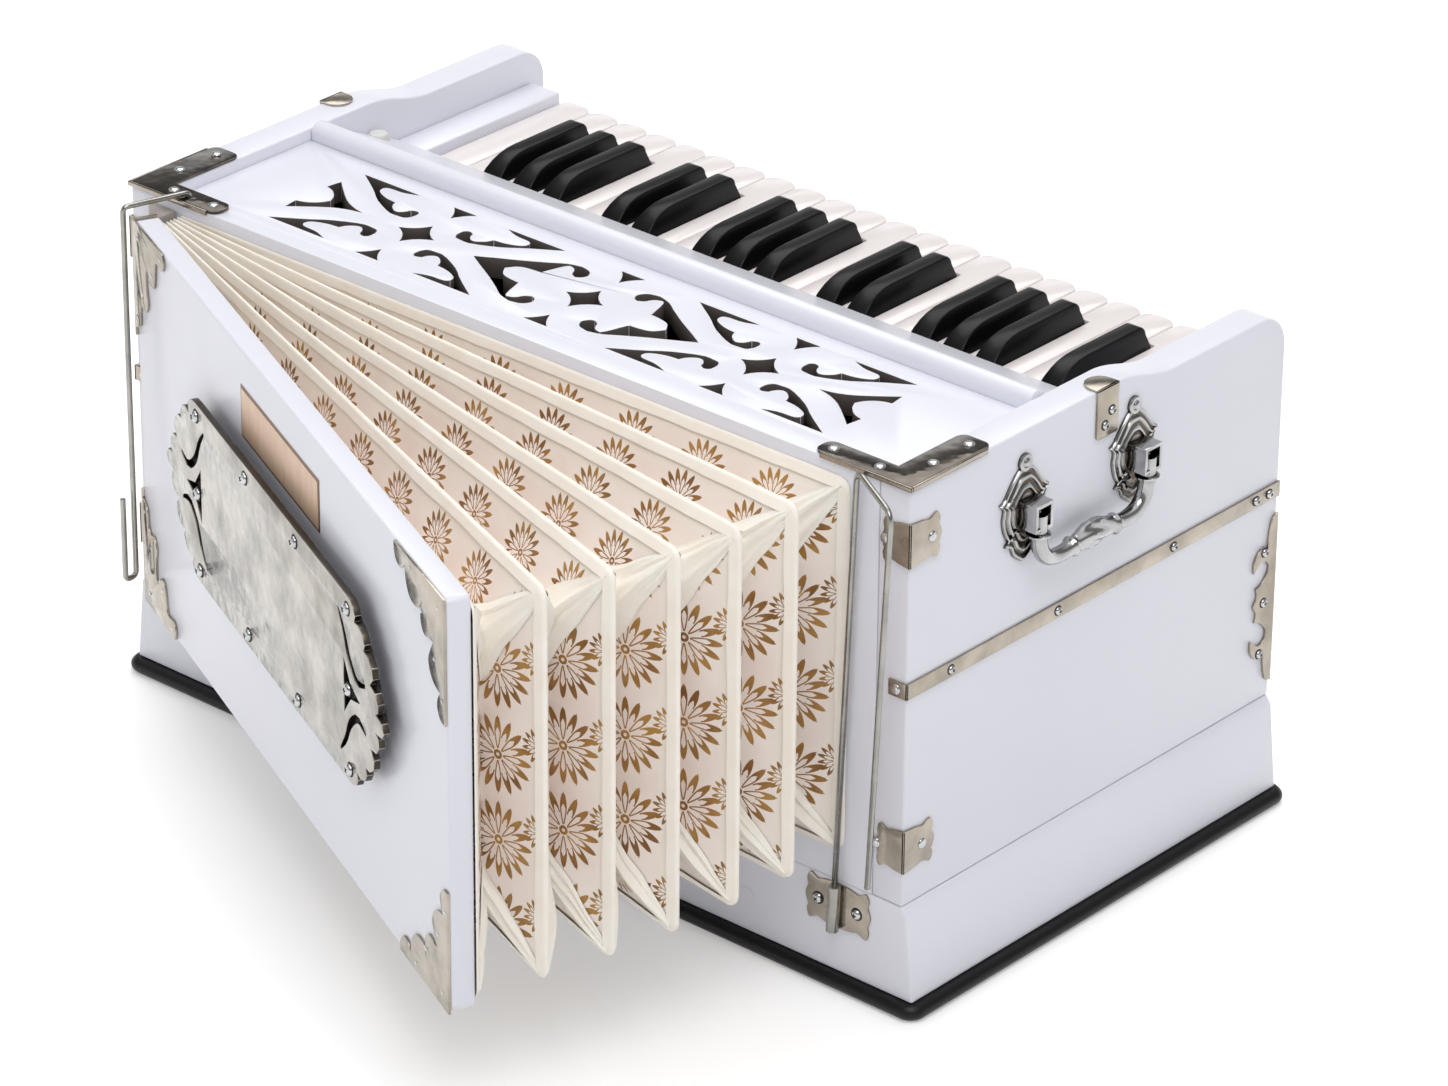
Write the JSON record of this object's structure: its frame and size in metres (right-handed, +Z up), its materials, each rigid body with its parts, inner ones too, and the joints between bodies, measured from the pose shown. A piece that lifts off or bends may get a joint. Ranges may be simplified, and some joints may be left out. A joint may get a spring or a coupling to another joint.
{
  "type": "harmonium",
  "caption": "Portable hand-pumped reed organ with a fretwork lid panel, keyboard, multi-fold fan bellows held by wire clips, side bail handles and a black base board.",
  "frame": {"origin": "centre of the base board's underside, under the middle of the case without its bellows", "axes": "+Z up, -Y towards the bellows side, +Y towards the player, +X towards the bass end of the keys, away from the bellows' hinge"},
  "size_m": [0.5952, 0.5502, 0.3072],
  "materials": {
    "white_paint": "satin",
    "black_paint": "satin",
    "bare_wood": "matte",
    "white_key": "polished",
    "black_key": "polished",
    "bellows_cloth": "matte",
    "plate_steel": "brushed",
    "bright_chrome": "polished"
  },
  "bodies": {
    "case": {"base_board": "black_paint", "plinth": "white_paint", "side_left": "white_paint", "side_right": "white_paint", "bellows_board": "white_paint", "player_board": "white_paint", "key_bed": "white_paint", "reed_board": "bare_wood", "fretwork_panel": "white_paint", "key_rail": "white_paint", "rosette_left_front": "bright_chrome", "rosette_left_rear": "bright_chrome", "rosette_right_front": "bright_chrome", "rosette_right_rear": "bright_chrome"},
    "fold_1": {"bellows_fold_1": "bellows_cloth"},
    "fold_2": {"bellows_fold_2": "bellows_cloth"},
    "fold_3": {"bellows_fold_3": "bellows_cloth"},
    "fold_4": {"bellows_fold_4": "bellows_cloth"},
    "fold_5": {"bellows_fold_5": "bellows_cloth"},
    "flap": {"flap_board": "white_paint", "nameplate": "plate_steel"},
    "white_key_01": {"white_key_01": "white_key"},
    "white_key_02": {"white_key_02": "white_key"},
    "white_key_03": {"white_key_03": "white_key"},
    "white_key_04": {"white_key_04": "white_key"},
    "white_key_05": {"white_key_05": "white_key"},
    "white_key_06": {"white_key_06": "white_key"},
    "white_key_07": {"white_key_07": "white_key"},
    "white_key_08": {"white_key_08": "white_key"},
    "white_key_09": {"white_key_09": "white_key"},
    "white_key_10": {"white_key_10": "white_key"},
    "white_key_11": {"white_key_11": "white_key"},
    "white_key_12": {"white_key_12": "white_key"},
    "white_key_13": {"white_key_13": "white_key"},
    "white_key_14": {"white_key_14": "white_key"},
    "white_key_15": {"white_key_15": "white_key"},
    "white_key_16": {"white_key_16": "white_key"},
    "white_key_17": {"white_key_17": "white_key"},
    "white_key_18": {"white_key_18": "white_key"},
    "white_key_19": {"white_key_19": "white_key"},
    "white_key_20": {"white_key_20": "white_key"},
    "white_key_21": {"white_key_21": "white_key"},
    "black_key_01": {"black_key_01": "black_key"},
    "black_key_02": {"black_key_02": "black_key"},
    "black_key_03": {"black_key_03": "black_key"},
    "black_key_04": {"black_key_04": "black_key"},
    "black_key_05": {"black_key_05": "black_key"},
    "black_key_06": {"black_key_06": "black_key"},
    "black_key_07": {"black_key_07": "black_key"},
    "black_key_08": {"black_key_08": "black_key"},
    "black_key_09": {"black_key_09": "black_key"},
    "black_key_10": {"black_key_10": "black_key"},
    "black_key_11": {"black_key_11": "black_key"},
    "black_key_12": {"black_key_12": "black_key"},
    "black_key_13": {"black_key_13": "black_key"},
    "black_key_14": {"black_key_14": "black_key"},
    "clip_left": {"clip_left": "plate_steel"},
    "clip_right": {"clip_right": "plate_steel"},
    "handle_left": {"handle_left": "bright_chrome"},
    "handle_right": {"handle_right": "bright_chrome"}
  },
  "joints": [
    {"name": "bellows_main_hinge", "type": "hinge", "parent": "case", "child": "fold_1", "pos_m": [-0.2395, -0.169, 0.185], "axis": [0, 0, -1], "range_deg": [-4.3, 1.2], "stiffness_Nm_per_rad": 8, "deforming": ["bellows_fold_1"]},
    {"name": "fold_2_hinge", "type": "hinge", "parent": "fold_1", "child": "fold_2", "pos_m": [-0.2395, -0.169, 0.185], "axis": [0, 0, -1], "range_deg": [-4.4, 1.3], "deforming": ["bellows_fold_2"]},
    {"name": "fold_3_hinge", "type": "hinge", "parent": "fold_2", "child": "fold_3", "pos_m": [-0.2395, -0.169, 0.185], "axis": [0, 0, -1], "range_deg": [-4.4, 1.3], "deforming": ["bellows_fold_3"]},
    {"name": "fold_4_hinge", "type": "hinge", "parent": "fold_3", "child": "fold_4", "pos_m": [-0.2395, -0.169, 0.185], "axis": [0, 0, -1], "range_deg": [-4.4, 1.3], "deforming": ["bellows_fold_4"]},
    {"name": "fold_5_hinge", "type": "hinge", "parent": "fold_4", "child": "fold_5", "pos_m": [-0.2395, -0.169, 0.185], "axis": [0, 0, -1], "range_deg": [-4.4, 1.3], "deforming": ["bellows_fold_5"]},
    {"name": "flap_hinge", "type": "hinge", "parent": "fold_5", "child": "flap", "pos_m": [-0.2395, -0.169, 0.185], "axis": [0, 0, -1], "range_deg": [-4.4, 1.3]},
    {"name": "white_key_01_press", "type": "hinge", "parent": "case", "child": "white_key_01", "pos_m": [-0.221, 0, 0.2523], "axis": [-1, 0, 0], "range_deg": [0, 2.9], "stiffness_Nm_per_rad": 0.6, "springref_deg": -6.88},
    {"name": "white_key_02_press", "type": "hinge", "parent": "case", "child": "white_key_02", "pos_m": [-0.1989, 0, 0.2523], "axis": [-1, 0, 0], "range_deg": [0, 2.9], "stiffness_Nm_per_rad": 0.6, "springref_deg": -6.88},
    {"name": "white_key_03_press", "type": "hinge", "parent": "case", "child": "white_key_03", "pos_m": [-0.1768, 0, 0.2523], "axis": [-1, 0, 0], "range_deg": [0, 2.9], "stiffness_Nm_per_rad": 0.6, "springref_deg": -6.88},
    {"name": "white_key_04_press", "type": "hinge", "parent": "case", "child": "white_key_04", "pos_m": [-0.1547, 0, 0.2523], "axis": [-1, 0, 0], "range_deg": [0, 2.9], "stiffness_Nm_per_rad": 0.6, "springref_deg": -6.88},
    {"name": "white_key_05_press", "type": "hinge", "parent": "case", "child": "white_key_05", "pos_m": [-0.1326, 0, 0.2523], "axis": [-1, 0, 0], "range_deg": [0, 2.9], "stiffness_Nm_per_rad": 0.6, "springref_deg": -6.88},
    {"name": "white_key_06_press", "type": "hinge", "parent": "case", "child": "white_key_06", "pos_m": [-0.1105, 0, 0.2523], "axis": [-1, 0, 0], "range_deg": [0, 2.9], "stiffness_Nm_per_rad": 0.6, "springref_deg": -6.88},
    {"name": "white_key_07_press", "type": "hinge", "parent": "case", "child": "white_key_07", "pos_m": [-0.0884, 0, 0.2523], "axis": [-1, 0, 0], "range_deg": [0, 2.9], "stiffness_Nm_per_rad": 0.6, "springref_deg": -6.88},
    {"name": "white_key_08_press", "type": "hinge", "parent": "case", "child": "white_key_08", "pos_m": [-0.0663, 0, 0.2523], "axis": [-1, 0, 0], "range_deg": [0, 2.9], "stiffness_Nm_per_rad": 0.6, "springref_deg": -6.88},
    {"name": "white_key_09_press", "type": "hinge", "parent": "case", "child": "white_key_09", "pos_m": [-0.0442, 0, 0.2523], "axis": [-1, 0, 0], "range_deg": [0, 2.9], "stiffness_Nm_per_rad": 0.6, "springref_deg": -6.88},
    {"name": "white_key_10_press", "type": "hinge", "parent": "case", "child": "white_key_10", "pos_m": [-0.0221, 0, 0.2523], "axis": [-1, 0, 0], "range_deg": [0, 2.9], "stiffness_Nm_per_rad": 0.6, "springref_deg": -6.88},
    {"name": "white_key_11_press", "type": "hinge", "parent": "case", "child": "white_key_11", "pos_m": [0, 0, 0.2523], "axis": [-1, 0, 0], "range_deg": [0, 2.9], "stiffness_Nm_per_rad": 0.6, "springref_deg": -6.88},
    {"name": "white_key_12_press", "type": "hinge", "parent": "case", "child": "white_key_12", "pos_m": [0.0221, 0, 0.2523], "axis": [-1, 0, 0], "range_deg": [0, 2.9], "stiffness_Nm_per_rad": 0.6, "springref_deg": -6.88},
    {"name": "white_key_13_press", "type": "hinge", "parent": "case", "child": "white_key_13", "pos_m": [0.0442, 0, 0.2523], "axis": [-1, 0, 0], "range_deg": [0, 2.9], "stiffness_Nm_per_rad": 0.6, "springref_deg": -6.88},
    {"name": "white_key_14_press", "type": "hinge", "parent": "case", "child": "white_key_14", "pos_m": [0.0663, 0, 0.2523], "axis": [-1, 0, 0], "range_deg": [0, 2.9], "stiffness_Nm_per_rad": 0.6, "springref_deg": -6.88},
    {"name": "white_key_15_press", "type": "hinge", "parent": "case", "child": "white_key_15", "pos_m": [0.0884, 0, 0.2523], "axis": [-1, 0, 0], "range_deg": [0, 2.9], "stiffness_Nm_per_rad": 0.6, "springref_deg": -6.88},
    {"name": "white_key_16_press", "type": "hinge", "parent": "case", "child": "white_key_16", "pos_m": [0.1105, 0, 0.2523], "axis": [-1, 0, 0], "range_deg": [0, 2.9], "stiffness_Nm_per_rad": 0.6, "springref_deg": -6.88},
    {"name": "white_key_17_press", "type": "hinge", "parent": "case", "child": "white_key_17", "pos_m": [0.1326, 0, 0.2523], "axis": [-1, 0, 0], "range_deg": [0, 2.9], "stiffness_Nm_per_rad": 0.6, "springref_deg": -6.88},
    {"name": "white_key_18_press", "type": "hinge", "parent": "case", "child": "white_key_18", "pos_m": [0.1547, 0, 0.2523], "axis": [-1, 0, 0], "range_deg": [0, 2.9], "stiffness_Nm_per_rad": 0.6, "springref_deg": -6.88},
    {"name": "white_key_19_press", "type": "hinge", "parent": "case", "child": "white_key_19", "pos_m": [0.1768, 0, 0.2523], "axis": [-1, 0, 0], "range_deg": [0, 2.9], "stiffness_Nm_per_rad": 0.6, "springref_deg": -6.88},
    {"name": "white_key_20_press", "type": "hinge", "parent": "case", "child": "white_key_20", "pos_m": [0.1989, 0, 0.2523], "axis": [-1, 0, 0], "range_deg": [0, 2.9], "stiffness_Nm_per_rad": 0.6, "springref_deg": -6.88},
    {"name": "white_key_21_press", "type": "hinge", "parent": "case", "child": "white_key_21", "pos_m": [0.221, 0, 0.2523], "axis": [-1, 0, 0], "range_deg": [0, 2.9], "stiffness_Nm_per_rad": 0.6, "springref_deg": -6.88},
    {"name": "black_key_01_press", "type": "hinge", "parent": "case", "child": "black_key_01", "pos_m": [-0.18785, 0, 0.2523], "axis": [-1, 0, 0], "range_deg": [0, 2.9], "stiffness_Nm_per_rad": 0.6, "springref_deg": -6.88},
    {"name": "black_key_02_press", "type": "hinge", "parent": "case", "child": "black_key_02", "pos_m": [-0.16575, 0, 0.2523], "axis": [-1, 0, 0], "range_deg": [0, 2.9], "stiffness_Nm_per_rad": 0.6, "springref_deg": -6.88},
    {"name": "black_key_03_press", "type": "hinge", "parent": "case", "child": "black_key_03", "pos_m": [-0.14365, 0, 0.2523], "axis": [-1, 0, 0], "range_deg": [0, 2.9], "stiffness_Nm_per_rad": 0.6, "springref_deg": -6.88},
    {"name": "black_key_04_press", "type": "hinge", "parent": "case", "child": "black_key_04", "pos_m": [-0.09945, 0, 0.2523], "axis": [-1, 0, 0], "range_deg": [0, 2.9], "stiffness_Nm_per_rad": 0.6, "springref_deg": -6.88},
    {"name": "black_key_05_press", "type": "hinge", "parent": "case", "child": "black_key_05", "pos_m": [-0.07735, 0, 0.2523], "axis": [-1, 0, 0], "range_deg": [0, 2.9], "stiffness_Nm_per_rad": 0.6, "springref_deg": -6.88},
    {"name": "black_key_06_press", "type": "hinge", "parent": "case", "child": "black_key_06", "pos_m": [-0.03315, 0, 0.2523], "axis": [-1, 0, 0], "range_deg": [0, 2.9], "stiffness_Nm_per_rad": 0.6, "springref_deg": -6.88},
    {"name": "black_key_07_press", "type": "hinge", "parent": "case", "child": "black_key_07", "pos_m": [-0.01105, 0, 0.2523], "axis": [-1, 0, 0], "range_deg": [0, 2.9], "stiffness_Nm_per_rad": 0.6, "springref_deg": -6.88},
    {"name": "black_key_08_press", "type": "hinge", "parent": "case", "child": "black_key_08", "pos_m": [0.01105, 0, 0.2523], "axis": [-1, 0, 0], "range_deg": [0, 2.9], "stiffness_Nm_per_rad": 0.6, "springref_deg": -6.88},
    {"name": "black_key_09_press", "type": "hinge", "parent": "case", "child": "black_key_09", "pos_m": [0.05525, 0, 0.2523], "axis": [-1, 0, 0], "range_deg": [0, 2.9], "stiffness_Nm_per_rad": 0.6, "springref_deg": -6.88},
    {"name": "black_key_10_press", "type": "hinge", "parent": "case", "child": "black_key_10", "pos_m": [0.07735, 0, 0.2523], "axis": [-1, 0, 0], "range_deg": [0, 2.9], "stiffness_Nm_per_rad": 0.6, "springref_deg": -6.88},
    {"name": "black_key_11_press", "type": "hinge", "parent": "case", "child": "black_key_11", "pos_m": [0.12155, 0, 0.2523], "axis": [-1, 0, 0], "range_deg": [0, 2.9], "stiffness_Nm_per_rad": 0.6, "springref_deg": -6.88},
    {"name": "black_key_12_press", "type": "hinge", "parent": "case", "child": "black_key_12", "pos_m": [0.14365, 0, 0.2523], "axis": [-1, 0, 0], "range_deg": [0, 2.9], "stiffness_Nm_per_rad": 0.6, "springref_deg": -6.88},
    {"name": "black_key_13_press", "type": "hinge", "parent": "case", "child": "black_key_13", "pos_m": [0.16575, 0, 0.2523], "axis": [-1, 0, 0], "range_deg": [0, 2.9], "stiffness_Nm_per_rad": 0.6, "springref_deg": -6.88},
    {"name": "black_key_14_press", "type": "hinge", "parent": "case", "child": "black_key_14", "pos_m": [0.20995, 0, 0.2523], "axis": [-1, 0, 0], "range_deg": [0, 2.9], "stiffness_Nm_per_rad": 0.6, "springref_deg": -6.88},
    {"name": "clip_right_swing", "type": "hinge", "parent": "case", "child": "clip_right", "pos_m": [0.2335, -0.1586, 0.049], "axis": [0.0411, 0, 0.9992], "range_deg": [-90, 25]},
    {"name": "clip_left_swing", "type": "hinge", "parent": "case", "child": "clip_left", "pos_m": [-0.237, -0.147, 0.296], "axis": [0, 0, -1], "range_deg": [0, 50]},
    {"name": "handle_right_swing", "type": "hinge", "parent": "case", "child": "handle_right", "pos_m": [0.29, -0.0205, 0.258], "axis": [0, -1, 0], "range_deg": [-8, 85]},
    {"name": "handle_left_swing", "type": "hinge", "parent": "case", "child": "handle_left", "pos_m": [-0.29, -0.0205, 0.258], "axis": [0, 1, 0], "range_deg": [-8, 85]}
  ],
  "couplings": [
    {"joint": "fold_2_hinge", "follows": "bellows_main_hinge", "ratio": 1},
    {"joint": "fold_3_hinge", "follows": "bellows_main_hinge", "ratio": 1},
    {"joint": "fold_4_hinge", "follows": "bellows_main_hinge", "ratio": 1},
    {"joint": "fold_5_hinge", "follows": "bellows_main_hinge", "ratio": 1},
    {"joint": "flap_hinge", "follows": "bellows_main_hinge", "ratio": 1}
  ]
}
